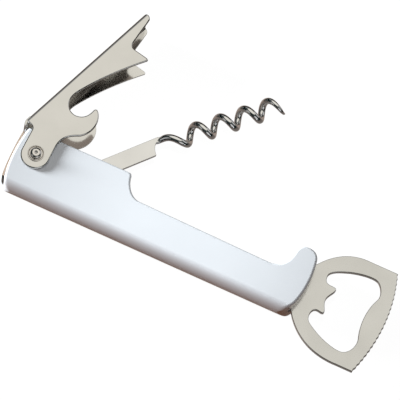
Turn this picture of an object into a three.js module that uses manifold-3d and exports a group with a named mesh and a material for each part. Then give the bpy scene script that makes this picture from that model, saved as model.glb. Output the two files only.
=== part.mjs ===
// Waiter's corkscrew: plastic handle, folding lever, folding worm and a fixed crown-cap opener.
//
// Millimetres. The design frame has its origin beside the lever's pivot, halfway through the
// handle's thickness: X runs along the handle towards the opener, Y away from the spine and
// Z out of the front face. The finished group stands on its lowest point, centred on it.

import * as THREE from 'three';
import { mergeVertices } from 'three/addons/utils/BufferGeometryUtils.js';
import Module from 'manifold-3d';

// ---------------------------------------------------------------- driving dimensions

const HANDLE_HALF = 5.9; // half of the handle's thickness
const EDGE_ROUND = 0.9; // rounding of the handle's front and rear edges
const SPINE_Y = -14.76;
const SPINE_DEPTH = 3.0; // the spine's section is half an ellipse, this deep
const BLOCK_TOP_Y = 9.35; // top of the thick end that carries the pivots
const WAIST_TOP_Y = 0.5; // top of the slim middle
const CHANNEL_HALF = 4.5; // half width of the channel that the worm folds into
const CHANNEL_FLOOR_Y = -12.7;
const CHANNEL_END_X = 102.8;
const END_WALL_X = -6.6; // inner face of the handle's closed left end

const LINER_INNER_Z = 3.6;
const LINER_OUTER_Z = 4.4;
const PIN_GAP = 0.08; // radial, between a pin and its seat

const STRAP_THICK = 0.7;
const STRAP_HALF = 2.6;
const STRAP_GAP = 0.1;
const STRAP_END_X = 102.2;
const STRAP_PINS = [[-2.6, -11.0], [38.0, -11.0]];
const STRAP_PIN_R = 0.7;
const STRAP_PIN_HALF = 5.0;

const PIVOT_SEGMENTS = 20;
const LEVER_PIVOT = new THREE.Vector2(-0.45, 0.35);
const LEVER_REST_DEG = 69; // lever's direction from the handle's axis
const LEVER_HEEL = new THREE.Vector2(-9.25, 11.2); // lower end of the web's outer face
const LEVER_SHEET = 1.1;
const LEVER_HALF = 7.25; // half width over the cheeks
const LEVER_BEND = 1.6; // outside radius where the web meets the cheeks
const HEEL_HALF = 6.9; // half width of the web's curled lower end
const RIVET_R = 1.6;
const WASHER_R = 3.1;
const WASHER_THICK = 0.5;
const LEVER_SLEEVE_R = 2.6;
const FACE_GAP = 0.05; // between parts that turn against each other

const WORM_PIVOT = new THREE.Vector2(11.2, -6.0);
const SHANK_DEG = 49.4; // the flat shank's direction
const SHANK_HALF_WIDTH = 3.2;
const SHANK_HALF_THICK = 0.7;
const SHANK_LENGTH = 39.3; // pivot to the flat shank's outer corner
const WORM_PIN_R = 1.5;
const WORM_PIN_HALF = 5.0;
const WORM_SLEEVE_R = 2.8;
const HELIX_DEG = 45.3; // the helix's direction
const HELIX_PITCH = 9.5;
const HELIX_R = 2.95; // to the centre of the wire
const HELIX_LENGTH = 49.0; // along its axis, from where the wire leaves the shank
const WIRE_R = 1.3;
const WIRE_ROOT = 1.2; // the wire starts this far along, inside the shank's corner
const POINT_R = 0.25;

const PLATE_HALF = 1.0; // half thickness of the opener plate
const SERRATIONS = 21; // along the plate's far edge
const SERRATION_DEPTH = 0.32;
const OPENER_PINS = [[106.0, 6.6], [106.4, -2.0], [105.6, -9.6]];
const OPENER_PIN_R = 1.25;
const OPENER_PIN_HALF = 4.4;

// ---------------------------------------------------------------- materials

const whitePlastic = { color: 0xe9edf0, roughness: 0.22, metalness: 0.0 };
const platedSteel = { color: 0xd0ccc0, roughness: 0.32, metalness: 1.0 };
const polishedSteel = { color: 0xc9c9c4, roughness: 0.15, metalness: 1.0 };
const plainSteel = { color: 0xa8aaa8, roughness: 0.45, metalness: 1.0 };

// ---------------------------------------------------------------- solids

const wasm = await Module();
wasm.setup();

const rad = THREE.MathUtils.degToRad;

function solid(geometry) {
  const bare = geometry.clone();
  bare.deleteAttribute('normal');
  bare.deleteAttribute('uv');
  const merged = mergeVertices(bare, 1e-4);
  return new wasm.Manifold(new wasm.Mesh({
    numProp: 3,
    vertProperties: new Float32Array(merged.attributes.position.array),
    triVerts: new Uint32Array(merged.index.array),
  }));
}

function geometryOf(body) {
  const mesh = body.getMesh();
  const geometry = new THREE.BufferGeometry();
  geometry.setAttribute('position', new THREE.BufferAttribute(mesh.vertProperties, 3));
  geometry.setIndex(new THREE.BufferAttribute(mesh.triVerts, 1));
  geometry.computeVertexNormals();
  return geometry;
}

// A shape in the XY plane as a slab from lowZ to highZ.
function slab(shape, lowZ, highZ, curveSegments = 8) {
  const geometry = new THREE.ExtrudeGeometry(shape, {
    depth: highZ - lowZ,
    bevelEnabled: false,
    curveSegments,
  });
  return solid(geometry.translate(0, 0, lowZ));
}

function box(lowX, highX, lowY, highY, lowZ, highZ) {
  const geometry = new THREE.BoxGeometry(highX - lowX, highY - lowY, highZ - lowZ);
  return solid(geometry.translate((lowX + highX) / 2, (lowY + highY) / 2, (lowZ + highZ) / 2));
}

// A round pin along Z.
function pin(x, y, radius, lowZ, highZ, segments = PIVOT_SEGMENTS) {
  const geometry = new THREE.CylinderGeometry(radius, radius, highZ - lowZ, segments);
  geometry.rotateX(Math.PI / 2);
  return solid(geometry.translate(x, y, (lowZ + highZ) / 2));
}

// The radius of a bore that turns freely on a faceted pin.
function runningBore(pinRadius) {
  return pinRadius / Math.cos(Math.PI / PIVOT_SEGMENTS) + 0.04;
}

function ring(x, y, innerRadius, outerRadius, lowZ, highZ) {
  return pin(x, y, outerRadius, lowZ, highZ).subtract(pin(x, y, innerRadius, lowZ - 1, highZ + 1));
}

// A profile given in the plane of two directions, drawn out along the third.
function swept(shape, origin, alongShapeX, alongShapeY, length, curveSegments = 8) {
  const geometry = new THREE.ExtrudeGeometry(shape, {
    depth: length,
    bevelEnabled: false,
    curveSegments,
  });
  const out = new THREE.Vector3().crossVectors(alongShapeX, alongShapeY);
  const place = new THREE.Matrix4().makeBasis(alongShapeX, alongShapeY, out).setPosition(origin);
  return solid(geometry.applyMatrix4(place));
}

// ---------------------------------------------------------------- handle

function handleOutline() {
  const outline = new THREE.Shape();
  outline.moveTo(-6.2, BLOCK_TOP_Y);
  outline.lineTo(33.3, BLOCK_TOP_Y);
  outline.quadraticCurveTo(34.6, BLOCK_TOP_Y, 34.8, 7.8);
  outline.bezierCurveTo(35.3, 5.0, 37.6, 0.6, 41.5, WAIST_TOP_Y);
  outline.lineTo(93.5, -0.2);
  outline.bezierCurveTo(97.6, -0.2, 100.4, 1.9, 101.0, 6.8);
  outline.bezierCurveTo(101.2, 9.6, 102.4, 11.25, 105.0, 11.3);
  outline.bezierCurveTo(107.6, 11.3, 109.5, 9.9, 109.8, 7.0);
  outline.bezierCurveTo(110.9, 0.2, 110.4, -5.8, 108.9, -10.5);
  outline.quadraticCurveTo(107.4, SPINE_Y, 103.6, SPINE_Y);
  outline.lineTo(-3.4, SPINE_Y);
  outline.quadraticCurveTo(-7.0, SPINE_Y, -7.5, -11.2);
  outline.bezierCurveTo(-8.6, -6.0, -8.6, 1.0, -7.4, 8.0);
  outline.quadraticCurveTo(-7.2, BLOCK_TOP_Y, -6.2, BLOCK_TOP_Y);
  return outline;
}

// Section across the handle: flat faces above, and a spine that is half an ellipse.
function spineSection() {
  const shoulderY = SPINE_Y + SPINE_DEPTH;
  const section = new THREE.Shape();
  section.moveTo(HANDLE_HALF, 20);
  section.lineTo(-HANDLE_HALF, 20);
  section.lineTo(-HANDLE_HALF, shoulderY);
  section.absellipse(0, shoulderY, HANDLE_HALF, SPINE_DEPTH, Math.PI, 2 * Math.PI, false, 0);
  section.closePath();
  return section;
}

function channelSection() {
  const section = new THREE.Shape();
  section.moveTo(CHANNEL_HALF, 20);
  section.lineTo(-CHANNEL_HALF, 20);
  section.lineTo(-CHANNEL_HALF, -8.8);
  section.lineTo(-4.1, -10.6);
  section.lineTo(-STRAP_HALF - STRAP_GAP, CHANNEL_FLOOR_Y);
  section.lineTo(STRAP_HALF + STRAP_GAP, CHANNEL_FLOOR_Y);
  section.lineTo(4.1, -10.6);
  section.lineTo(CHANNEL_HALF, -8.8);
  section.closePath();
  return section;
}

// Sections are drawn with their X across the handle and swept along the handle's X.
function alongHandle(section, lowX, highX, curveSegments = 10) {
  const across = new THREE.Vector3(0, 0, -1);
  const up = new THREE.Vector3(0, 1, 0);
  return swept(section, new THREE.Vector3(lowX, 0, 0), across, up, highX - lowX, curveSegments);
}

function handleBody() {
  const geometry = new THREE.ExtrudeGeometry(handleOutline(), {
    depth: 2 * (HANDLE_HALF - EDGE_ROUND),
    bevelEnabled: true,
    bevelThickness: EDGE_ROUND,
    bevelSize: EDGE_ROUND,
    bevelOffset: -EDGE_ROUND,
    bevelSegments: 3,
    curveSegments: 7,
  });
  let body = solid(geometry.translate(0, 0, EDGE_ROUND - HANDLE_HALF));
  body = body.intersect(alongHandle(spineSection(), -20, 130));
  body = body.subtract(alongHandle(channelSection(), END_WALL_X, CHANNEL_END_X));
  const strapSlotHalf = STRAP_HALF + STRAP_GAP;
  const strapSlotTop = CHANNEL_FLOOR_Y + 2.4 * STRAP_THICK;
  body = body.subtract(
    box(-20, END_WALL_X + 1, CHANNEL_FLOOR_Y, strapSlotTop, -strapSlotHalf, strapSlotHalf));
  const plateSlotHalf = PLATE_HALF + PIN_GAP;
  body = body.subtract(box(103.4, 130, -12.9, 8.9, -plateSlotHalf, plateSlotHalf));
  body = body.subtract(pin(LEVER_PIVOT.x, LEVER_PIVOT.y, RIVET_R + PIN_GAP, -20, 20));
  for (const [x, y] of STRAP_PINS) {
    const half = STRAP_PIN_HALF + PIN_GAP;
    body = body.subtract(pin(x, y, STRAP_PIN_R + PIN_GAP, -half, half, 10));
  }
  for (const [x, y] of OPENER_PINS) {
    const half = OPENER_PIN_HALF + PIN_GAP;
    body = body.subtract(pin(x, y, OPENER_PIN_R + PIN_GAP, -half, half, 14));
  }
  const wormPinHalf = WORM_PIN_HALF + PIN_GAP;
  const wormBore = pin(
    WORM_PIVOT.x, WORM_PIVOT.y, WORM_PIN_R + PIN_GAP, -wormPinHalf, wormPinHalf);
  return body.subtract(wormBore);
}

const handle = handleBody();

function frontShell() {
  return handle.intersect(box(-30, 150, -30, 30, 0, 20));
}

function rearShell() {
  return handle.intersect(box(-30, 150, -30, 30, -20, 0));
}

// Steel side plate inside the block, bored for the two pivots.
function liner(side) {
  const outline = new THREE.Shape();
  outline.moveTo(-5.4, -8.6);
  outline.lineTo(31.0, -8.6);
  outline.quadraticCurveTo(35.2, -8.6, 34.6, -4.0);
  outline.lineTo(32.6, 7.2);
  outline.quadraticCurveTo(32.4, 8.4, 31.2, 8.4);
  outline.lineTo(-5.0, 8.4);
  outline.quadraticCurveTo(-6.3, 8.4, -6.3, 7.0);
  outline.lineTo(-6.3, -7.6);
  outline.quadraticCurveTo(-6.3, -8.6, -5.4, -8.6);
  const lowZ = side > 0 ? LINER_INNER_Z : -LINER_OUTER_Z;
  const highZ = side > 0 ? LINER_OUTER_Z : -LINER_INNER_Z;
  return slab(outline, lowZ, highZ, 4)
    .subtract(pin(LEVER_PIVOT.x, LEVER_PIVOT.y, RIVET_R + PIN_GAP, -20, 20))
    .subtract(pin(WORM_PIVOT.x, WORM_PIVOT.y, WORM_PIN_R + PIN_GAP, -20, 20));
}

// Bent strip: up the outside of the left end, then under it and along the channel's floor.
function backStrap() {
  const route = new THREE.CurvePath();
  const low = CHANNEL_FLOOR_Y + STRAP_GAP + STRAP_THICK / 2;
  const point = (x, y) => new THREE.Vector3(x, y, 0);
  route.add(new THREE.CubicBezierCurve3(
    point(-8.45, 8.2), point(-8.9, 3.5), point(-8.95, -5.5), point(-8.35, -10.4)));
  route.add(new THREE.QuadraticBezierCurve3(point(-8.35, -10.4), point(-8.0, low), point(-6.2, low)));
  const outline = stripOutline(route, STRAP_THICK, [0, 0.2, 0.4, 0.6, 0.8, 1], STRAP_END_X, low);
  return slab(outline, -STRAP_HALF, STRAP_HALF);
}

// Offsets a planar route to both sides, then carries it on level to endX.
function stripOutline(route, thickness, steps, endX, endY) {
  const left = [];
  const right = [];
  for (const curve of route.curves) {
    for (const t of steps) {
      const at = curve.getPoint(t);
      const tangent = curve.getTangent(t);
      const side = new THREE.Vector2(-tangent.y, tangent.x).multiplyScalar(thickness / 2);
      left.push(new THREE.Vector2(at.x + side.x, at.y + side.y));
      right.push(new THREE.Vector2(at.x - side.x, at.y - side.y));
    }
  }
  left.push(new THREE.Vector2(endX, endY + thickness / 2));
  right.push(new THREE.Vector2(endX, endY - thickness / 2));
  const apart = (point, index, list) => index === 0 || point.distanceTo(list[index - 1]) > 0.02;
  return new THREE.Shape([...right.filter(apart), ...left.filter(apart).reverse()]);
}

// ---------------------------------------------------------------- opener plate

function openerOutline() {
  const outline = new THREE.Shape();
  outline.moveTo(103.7, 5.0);
  outline.quadraticCurveTo(103.7, 8.3, 107.2, 8.3);
  outline.lineTo(109.8, 8.3);
  outline.bezierCurveTo(113.0, 13.0, 118.4, 17.7, 126.0, 17.85);
  outline.lineTo(138.35, 17.85);
  const edge = new THREE.CubicBezierCurve(
    new THREE.Vector2(138.35, 17.85), new THREE.Vector2(142.9, 5.2),
    new THREE.Vector2(143.1, -9.8), new THREE.Vector2(138.2, -24.3));
  for (let tooth = 0; tooth < SERRATIONS; tooth += 1) {
    const valley = edge.getPoint((tooth + 0.5) / SERRATIONS);
    const tip = edge.getPoint((tooth + 1) / SERRATIONS);
    outline.lineTo(valley.x - SERRATION_DEPTH, valley.y);
    outline.lineTo(tip.x, tip.y);
  }
  outline.lineTo(132.0, -24.3);
  outline.bezierCurveTo(120.7, -24.8, 112.9, -19.6, 108.1, -11.9);
  outline.lineTo(105.2, -12.5);
  outline.quadraticCurveTo(103.7, -12.5, 103.7, -11.0);
  outline.closePath();
  return outline;
}

// The crown-cap hole, with two teeth on the handle's side.
function openerHole() {
  const hole = new THREE.Shape();
  hole.moveTo(115.3, 6.2);
  hole.bezierCurveTo(115.7, 8.2, 118.7, 9.4, 122.1, 10.7);
  hole.bezierCurveTo(126.6, 12.2, 131.2, 12.7, 132.9, 11.8);
  hole.bezierCurveTo(134.5, 10.8, 136.4, 7.8, 135.5, 5.2);
  hole.bezierCurveTo(133.3, 0.2, 133.3, -6.2, 134.9, -11.0);
  hole.bezierCurveTo(136.2, -14.6, 134.2, -18.4, 131.5, -19.0);
  hole.bezierCurveTo(128.3, -19.4, 121.6, -17.3, 116.5, -13.7);
  hole.bezierCurveTo(115.0, -12.6, 114.7, -9.6, 116.1, -8.3);
  hole.bezierCurveTo(117.3, -7.5, 118.7, -8.7, 119.6, -8.0);
  hole.bezierCurveTo(120.3, -7.0, 118.3, -5.4, 118.3, -3.0);
  hole.bezierCurveTo(118.3, -0.8, 120.5, 1.0, 120.2, 2.3);
  hole.bezierCurveTo(119.8, 3.4, 117.3, 2.5, 116.1, 3.4);
  hole.quadraticCurveTo(115.1, 4.4, 115.3, 6.2);
  return hole;
}

function openerPlate() {
  let plate = slab(openerOutline(), -PLATE_HALF, PLATE_HALF, 6)
    .subtract(slab(openerHole(), -5, 5, 6));
  for (const [x, y] of OPENER_PINS) {
    plate = plate.subtract(pin(x, y, OPENER_PIN_R + PIN_GAP, -5, 5, 14));
  }
  return plate;
}

// ---------------------------------------------------------------- lever

function leverOutline() {
  const outline = new THREE.Shape();
  outline.moveTo(LEVER_HEEL.x, LEVER_HEEL.y);
  outline.lineTo(12.33, 67.96);
  outline.bezierCurveTo(12.9, 69.2, 14.9, 69.2, 15.4, 67.3);
  outline.bezierCurveTo(15.1, 64.5, 14.3, 60.5, 13.7, 56.2);
  outline.quadraticCurveTo(13.5, 54.3, 15.5, 53.9);
  outline.lineTo(20.3, 52.9);
  outline.quadraticCurveTo(22.1, 52.4, 21.0, 51.5);
  outline.bezierCurveTo(14.4, 44.8, 8.0, 37.0, 3.4, 29.4);
  outline.bezierCurveTo(0.4, 24.4, 3.2, 20.7, 6.5, 20.6);
  outline.bezierCurveTo(9.4, 20.7, 10.9, 22.6, 11.6, 25.4);
  outline.quadraticCurveTo(12.3, 26.7, 13.4, 25.4);
  outline.bezierCurveTo(16.0, 22.0, 15.0, 16.4, 11.2, 13.8);
  outline.bezierCurveTo(7.2, 12.0, 5.0, 10.2, 5.0, 5.2);
  outline.lineTo(4.95, 0);
  outline.absarc(-0.5, 0, 5.45, 0, Math.PI, true);
  outline.lineTo(-5.7, 8.0);
  outline.quadraticCurveTo(-5.5, 9.5, -6.9, 10.1);
  outline.closePath();
  return outline;
}

function lever() {
  const along = new THREE.Vector3(Math.cos(rad(LEVER_REST_DEG)), Math.sin(rad(LEVER_REST_DEG)), 0);
  const inward = new THREE.Vector3(along.y, -along.x, 0);
  const across = new THREE.Vector3(0, 0, 1);
  const beyondTip = new THREE.Vector3(LEVER_HEEL.x, LEVER_HEEL.y, 0).addScaledVector(along, 110);

  const outside = new THREE.Shape();
  outside.moveTo(60, -LEVER_HALF);
  outside.lineTo(60, LEVER_HALF);
  outside.lineTo(LEVER_BEND, LEVER_HALF);
  outside.absarc(LEVER_BEND, LEVER_HALF - LEVER_BEND, LEVER_BEND, Math.PI / 2, Math.PI, false);
  outside.absarc(LEVER_BEND, LEVER_BEND - LEVER_HALF, LEVER_BEND, Math.PI, 1.5 * Math.PI, false);
  outside.closePath();

  const insideHalf = LEVER_HALF - LEVER_SHEET;
  const insideBend = LEVER_BEND - LEVER_SHEET;
  const inside = new THREE.Shape();
  inside.moveTo(80, -insideHalf);
  inside.lineTo(80, insideHalf);
  inside.lineTo(LEVER_BEND, insideHalf);
  inside.absarc(LEVER_BEND, insideHalf - insideBend, insideBend, Math.PI / 2, Math.PI, false);
  inside.absarc(LEVER_BEND, insideBend - insideHalf, insideBend, Math.PI, 1.5 * Math.PI, false);
  inside.closePath();

  const sheet = swept(outside, beyondTip, inward, across, 150, 4);
  const hollow = swept(inside, beyondTip, inward, across, 150, 2);
  const boreRadius = runningBore(RIVET_R);
  const bore = pin(LEVER_PIVOT.x, LEVER_PIVOT.y, boreRadius, -20, 20);
  return slab(leverOutline(), -LEVER_HALF, LEVER_HALF, 7)
    .intersect(sheet)
    .subtract(hollow)
    .add(heelTab())
    .subtract(bore);
}

// The web's lower end, curled in behind the handle's corner.
function heelTab() {
  const outline = new THREE.Shape();
  outline.moveTo(LEVER_HEEL.x + 0.69, LEVER_HEEL.y + 1.8);
  outline.lineTo(LEVER_HEEL.x, LEVER_HEEL.y);
  outline.quadraticCurveTo(-9.45, 10.1, -9.0, 9.0);
  outline.lineTo(-8.2, 9.3);
  outline.quadraticCurveTo(-8.55, 10.1, -8.22, 10.9);
  outline.lineTo(-7.55, 12.6);
  outline.closePath();
  return slab(outline, -HEEL_HALF, HEEL_HALF, 3);
}

// A rivet through the whole pivot: a plain shank with a dimpled dome at each end.
function leverRivet() {
  const seat = LEVER_HALF + FACE_GAP + WASHER_THICK + FACE_GAP;
  const half = [
    new THREE.Vector2(RIVET_R, seat),
    new THREE.Vector2(2.1, seat),
    new THREE.Vector2(2.1, seat + 0.25),
    new THREE.Vector2(1.75, seat + 0.7),
    new THREE.Vector2(1.15, seat + 0.95),
    new THREE.Vector2(0.55, seat + 0.95),
    new THREE.Vector2(0, seat + 0.6),
  ];
  const mirrored = half.map((point) => new THREE.Vector2(point.x, -point.y)).reverse();
  const geometry = new THREE.LatheGeometry([...mirrored, ...half], PIVOT_SEGMENTS);
  geometry.rotateX(Math.PI / 2);
  return solid(geometry.translate(LEVER_PIVOT.x, LEVER_PIVOT.y, 0));
}

// ---------------------------------------------------------------- worm

const shankDirection = new THREE.Vector2(Math.cos(rad(SHANK_DEG)), Math.sin(rad(SHANK_DEG)));
const helixDirection = new THREE.Vector2(Math.cos(rad(HELIX_DEG)), Math.sin(rad(HELIX_DEG)));

// A place on the flat shank: so far out from the pivot, and so far towards the lever.
function onShank(outward, leverward) {
  return new THREE.Vector2(
    WORM_PIVOT.x + outward * shankDirection.x - leverward * shankDirection.y,
    WORM_PIVOT.y + outward * shankDirection.y + leverward * shankDirection.x);
}

// What a rate that climbs steadily from 0 to 1 between low and high adds up to by s.
function ramp(s, low, high) {
  if (s < low) {
    return 0;
  }
  return s < high ? (s - low) ** 2 / (2 * (high - low)) : s - (low + high) / 2;
}

// The wire's centre line. It leaves the shank's lever-side corner straight, makes a first
// turn that is drawn out, and becomes a right-handed helix about a line through the middle of
// the shank's outer end. Its last stretch opens out towards the point.
class WormWire extends THREE.Curve {
  getPoint(t, target = new THREE.Vector3()) {
    const start = onShank(SHANK_LENGTH + 2.6, 0.2);
    const s = WIRE_ROOT + t * (HELIX_LENGTH - WIRE_ROOT);
    const run = 0.53 * ramp(s, 0, 2) + 0.47 * ramp(s, 8.5, 12);
    const angle = 2 * Math.PI * run / HELIX_PITCH;
    const early = Math.max(0, 1 - s / 8);
    const late = Math.max(0, 1 - (HELIX_LENGTH - s) / 5);
    const radius = HELIX_R - 1.6 * early + 0.65 * late;
    const side = radius * Math.cos(angle);
    return target.set(
      start.x + s * helixDirection.x - side * helixDirection.y,
      start.y + s * helixDirection.y + side * helixDirection.x,
      radius * Math.sin(angle));
  }
}

// A round tube along a curve, thinning over its last stretch to a small blunt point.
function taperedTube(curve, radius, pointRadius, taperFrom, steps, sides) {
  const frames = curve.computeFrenetFrames(steps, false);
  const positions = [];
  const faces = [];
  for (let step = 0; step <= steps; step += 1) {
    const t = step / steps;
    const fade = Math.max(0, (t - taperFrom) / (1 - taperFrom));
    const r = radius + (pointRadius - radius) * fade * fade;
    const centre = curve.getPointAt(t);
    for (let side = 0; side < sides; side += 1) {
      const angle = 2 * Math.PI * side / sides;
      const point = centre.clone()
        .addScaledVector(frames.normals[step], r * Math.cos(angle))
        .addScaledVector(frames.binormals[step], r * Math.sin(angle));
      positions.push(point.x, point.y, point.z);
    }
  }
  for (let step = 0; step < steps; step += 1) {
    for (let side = 0; side < sides; side += 1) {
      const here = step * sides + side;
      const next = step * sides + (side + 1) % sides;
      faces.push(here, next, here + sides);
      faces.push(next, next + sides, here + sides);
    }
  }
  for (let side = 1; side < sides - 1; side += 1) {
    const last = steps * sides;
    faces.push(0, side + 1, side);
    faces.push(last, last + side, last + side + 1);
  }
  const geometry = new THREE.BufferGeometry();
  geometry.setAttribute('position', new THREE.Float32BufferAttribute(positions, 3));
  geometry.setIndex(faces);
  return solid(geometry);
}

function wormShank() {
  const corners = [
    onShank(0, -SHANK_HALF_WIDTH),
    onShank(SHANK_LENGTH - 0.5, -SHANK_HALF_WIDTH),
    onShank(SHANK_LENGTH, -SHANK_HALF_WIDTH + 0.4),
    onShank(SHANK_LENGTH + 0.3, -1.4),
    onShank(SHANK_LENGTH + 1.1, 0.3),
    onShank(SHANK_LENGTH + 2.4, 1.5),
    onShank(SHANK_LENGTH + 5.0, 1.9),
    onShank(SHANK_LENGTH + 5.0, 2.8),
    onShank(SHANK_LENGTH + 3.6, SHANK_HALF_WIDTH),
    onShank(0, SHANK_HALF_WIDTH),
  ];
  const butt = pin(
    WORM_PIVOT.x, WORM_PIVOT.y, SHANK_HALF_WIDTH, -SHANK_HALF_THICK, SHANK_HALF_THICK);
  return slab(new THREE.Shape(corners), -SHANK_HALF_THICK, SHANK_HALF_THICK)
    .add(butt)
    .subtract(pin(WORM_PIVOT.x, WORM_PIVOT.y, runningBore(WORM_PIN_R), -5, 5));
}

function worm() {
  return wormShank().add(taperedTube(new WormWire(), WIRE_R, POINT_R, 0.84, 78, 8));
}

// ---------------------------------------------------------------- assembly

const corkscrew = new THREE.Group();

function addPart(name, body, look) {
  const mesh = new THREE.Mesh(geometryOf(body), new THREE.MeshStandardMaterial(look));
  mesh.name = name;
  corkscrew.add(mesh);
}

addPart('front_shell', frontShell(), whitePlastic);
addPart('rear_shell', rearShell(), whitePlastic);
addPart('front_liner', liner(1), plainSteel);
addPart('rear_liner', liner(-1), plainSteel);
addPart('back_strap', backStrap(), platedSteel);
['strap_pin_left', 'strap_pin_right'].forEach((name, index) => {
  const [x, y] = STRAP_PINS[index];
  addPart(name, pin(x, y, STRAP_PIN_R, -STRAP_PIN_HALF, STRAP_PIN_HALF, 10), plainSteel);
});

addPart('opener_plate', openerPlate(), platedSteel);
['opener_pin_upper', 'opener_pin_middle', 'opener_pin_lower'].forEach((name, index) => {
  const [x, y] = OPENER_PINS[index];
  addPart(name, pin(x, y, OPENER_PIN_R, -OPENER_PIN_HALF, OPENER_PIN_HALF, 14), plainSteel);
});

const sleeveEnd = LINER_INNER_Z - FACE_GAP;
const sleeveStart = SHANK_HALF_THICK + 2 * FACE_GAP;
const { x: wormX, y: wormY } = WORM_PIVOT;
addPart('worm', worm(), polishedSteel);
addPart('worm_pin', pin(wormX, wormY, WORM_PIN_R, -WORM_PIN_HALF, WORM_PIN_HALF), plainSteel);
addPart('worm_sleeve_front',
  ring(wormX, wormY, WORM_PIN_R + PIN_GAP, WORM_SLEEVE_R, sleeveStart, sleeveEnd), plainSteel);
addPart('worm_sleeve_rear',
  ring(wormX, wormY, WORM_PIN_R + PIN_GAP, WORM_SLEEVE_R, -sleeveEnd, -sleeveStart), plainSteel);

const { x: leverX, y: leverY } = LEVER_PIVOT;
const washerLow = LEVER_HALF + FACE_GAP;
const washerHigh = washerLow + WASHER_THICK;
addPart('lever', lever(), platedSteel);
addPart('lever_rivet', leverRivet(), polishedSteel);
addPart('lever_washer_front',
  ring(leverX, leverY, RIVET_R + PIN_GAP, WASHER_R, washerLow, washerHigh), platedSteel);
addPart('lever_washer_rear',
  ring(leverX, leverY, RIVET_R + PIN_GAP, WASHER_R, -washerHigh, -washerLow), platedSteel);
addPart('lever_sleeve',
  ring(leverX, leverY, RIVET_R + PIN_GAP, LEVER_SLEEVE_R, -sleeveEnd, sleeveEnd), plainSteel);

const bounds = new THREE.Box3().setFromObject(corkscrew);
const middle = bounds.getCenter(new THREE.Vector3());
corkscrew.position.set(-middle.x, -middle.y, -bounds.min.z);

export default corkscrew;
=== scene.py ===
"""Waiter's corkscrew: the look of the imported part.

Shapes are worked out in millimetres in the part's design frame, whose origin lies beside the
lever's pivot: X along the handle towards the opener, Y away from the spine, Z out of the front.
Each finished piece is moved into the row frame, in metres.
"""

import math

import bmesh
import bpy
from mathutils import Matrix, Vector
from mathutils.geometry import tessellate_polygon

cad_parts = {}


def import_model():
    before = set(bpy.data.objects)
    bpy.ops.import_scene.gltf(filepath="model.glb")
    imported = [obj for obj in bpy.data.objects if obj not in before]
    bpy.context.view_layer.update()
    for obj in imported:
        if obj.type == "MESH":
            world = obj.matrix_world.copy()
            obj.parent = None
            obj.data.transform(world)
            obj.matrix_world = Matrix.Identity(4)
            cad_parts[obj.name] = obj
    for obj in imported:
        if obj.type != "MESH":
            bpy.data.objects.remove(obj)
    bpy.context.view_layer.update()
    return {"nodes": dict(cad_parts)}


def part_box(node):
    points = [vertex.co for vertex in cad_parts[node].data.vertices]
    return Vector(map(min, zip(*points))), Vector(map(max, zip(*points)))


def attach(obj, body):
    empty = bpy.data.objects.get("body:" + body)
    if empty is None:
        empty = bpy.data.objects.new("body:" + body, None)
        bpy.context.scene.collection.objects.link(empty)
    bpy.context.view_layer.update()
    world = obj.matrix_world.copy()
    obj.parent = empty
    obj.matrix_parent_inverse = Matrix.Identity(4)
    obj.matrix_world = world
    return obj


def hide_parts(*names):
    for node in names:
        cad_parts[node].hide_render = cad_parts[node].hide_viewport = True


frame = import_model()

# ------------------------------------------------------------------ driving dimensions, mm

HANDLE_HALF = 5.9  # half of the handle's thickness
EDGE_ROUND = 0.9
SPINE_Y = -14.76
SPINE_DEPTH = 3.0  # the spine's section is half an ellipse, this deep
BLOCK_TOP_Y = 9.35
WAIST_TOP_Y = 0.5
CHANNEL_HALF = 4.5  # half width of the channel that the worm folds into
CHANNEL_FLOOR_Y = -12.7
CHANNEL_END_X = 102.8
END_WALL_X = -6.6  # inner face of the handle's closed left end
SHELL_RIM = 0.1  # rounding where the handle's hollows break out
THROUGH = 20  # far enough either way to cut through any piece
DEEP_BORE = 5.1  # half length of the bores for the worm's pin and the strap's pins

STRAP_THICK = 0.7
STRAP_HALF = 2.6
STRAP_GAP = 0.1
STRAP_END_X = 102.2
STRAP_PINS = ((-2.6, -11.0), (38.0, -11.0))
STRAP_PIN_R = 0.78
STRAP_ROUND = 0.08
SHADE_PAINTED_Y = (-12.6, -9.8)  # the strip's painted shade fades from black to bright between these

LEVER_PIVOT = Vector((-0.45, 0.35))
LEVER_REST = math.radians(69)  # the lever's direction from the handle's axis
LEVER_HEEL = Vector((-9.25, 11.2))  # lower end of the web's outer face
LEVER_SHEET = 1.1
LEVER_HALF = 7.25  # half width over the cheeks
LEVER_BEND = 1.6  # outside radius where the web meets the cheeks
LEVER_LEAD = math.radians(6)  # how far the cutting section leans clear of the cheeks
LEVER_BORE_R = 1.66
HEEL_HALF = 6.9
SHEET_ROUND = 0.6
SHEET_BREAK = 0.12  # rounding of the sheet's inner rims
RIVET_R = 1.6
RIVET_BORE_R = 1.68
WASHER_R = 3.1
WASHER_THICK = 0.5
WASHER_RIM = 0.1
WASHER_FLOOR = 0.1  # thickness of the washer's dished middle
FACE_GAP = 0.05  # between parts that turn against each other

WORM_PIVOT = Vector((11.2, -6.0))
WORM_BORE_R = 1.56
SHANK_ANGLE = math.radians(49.4)
SHANK_HALF_WIDTH = 3.2
SHANK_HALF_THICK = 0.7
SHANK_ROUND = 0.2
SHANK_LENGTH = 39.3  # pivot to the flat shank's outer corner
HELIX_ANGLE = math.radians(45.3)
HELIX_PITCH = 9.5
HELIX_R = 2.95  # to the centre of the wire
HELIX_LENGTH = 49.0
WIRE_R = 1.3
ROOT_R = 0.35
WIRE_ROOT = -3.0  # where the wire starts along the helix, inside the shank
POINT_R = 0.22
POINT_START = 0.86  # share of the helix where the wire begins to narrow

PLATE_HALF = 1.0
PLATE_ROUND = 0.3
PLATE_GAP = 0.08
SERRATIONS = 21  # along the plate's far edge
SERRATION_DEPTH = 0.32
OPENER_PINS = ((106.0, 6.6), (106.4, -2.0), (105.6, -9.6))
OPENER_PIN_R = 1.33
OPENER_BORE = 4.5  # half length of the bores for the opener's pins

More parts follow.
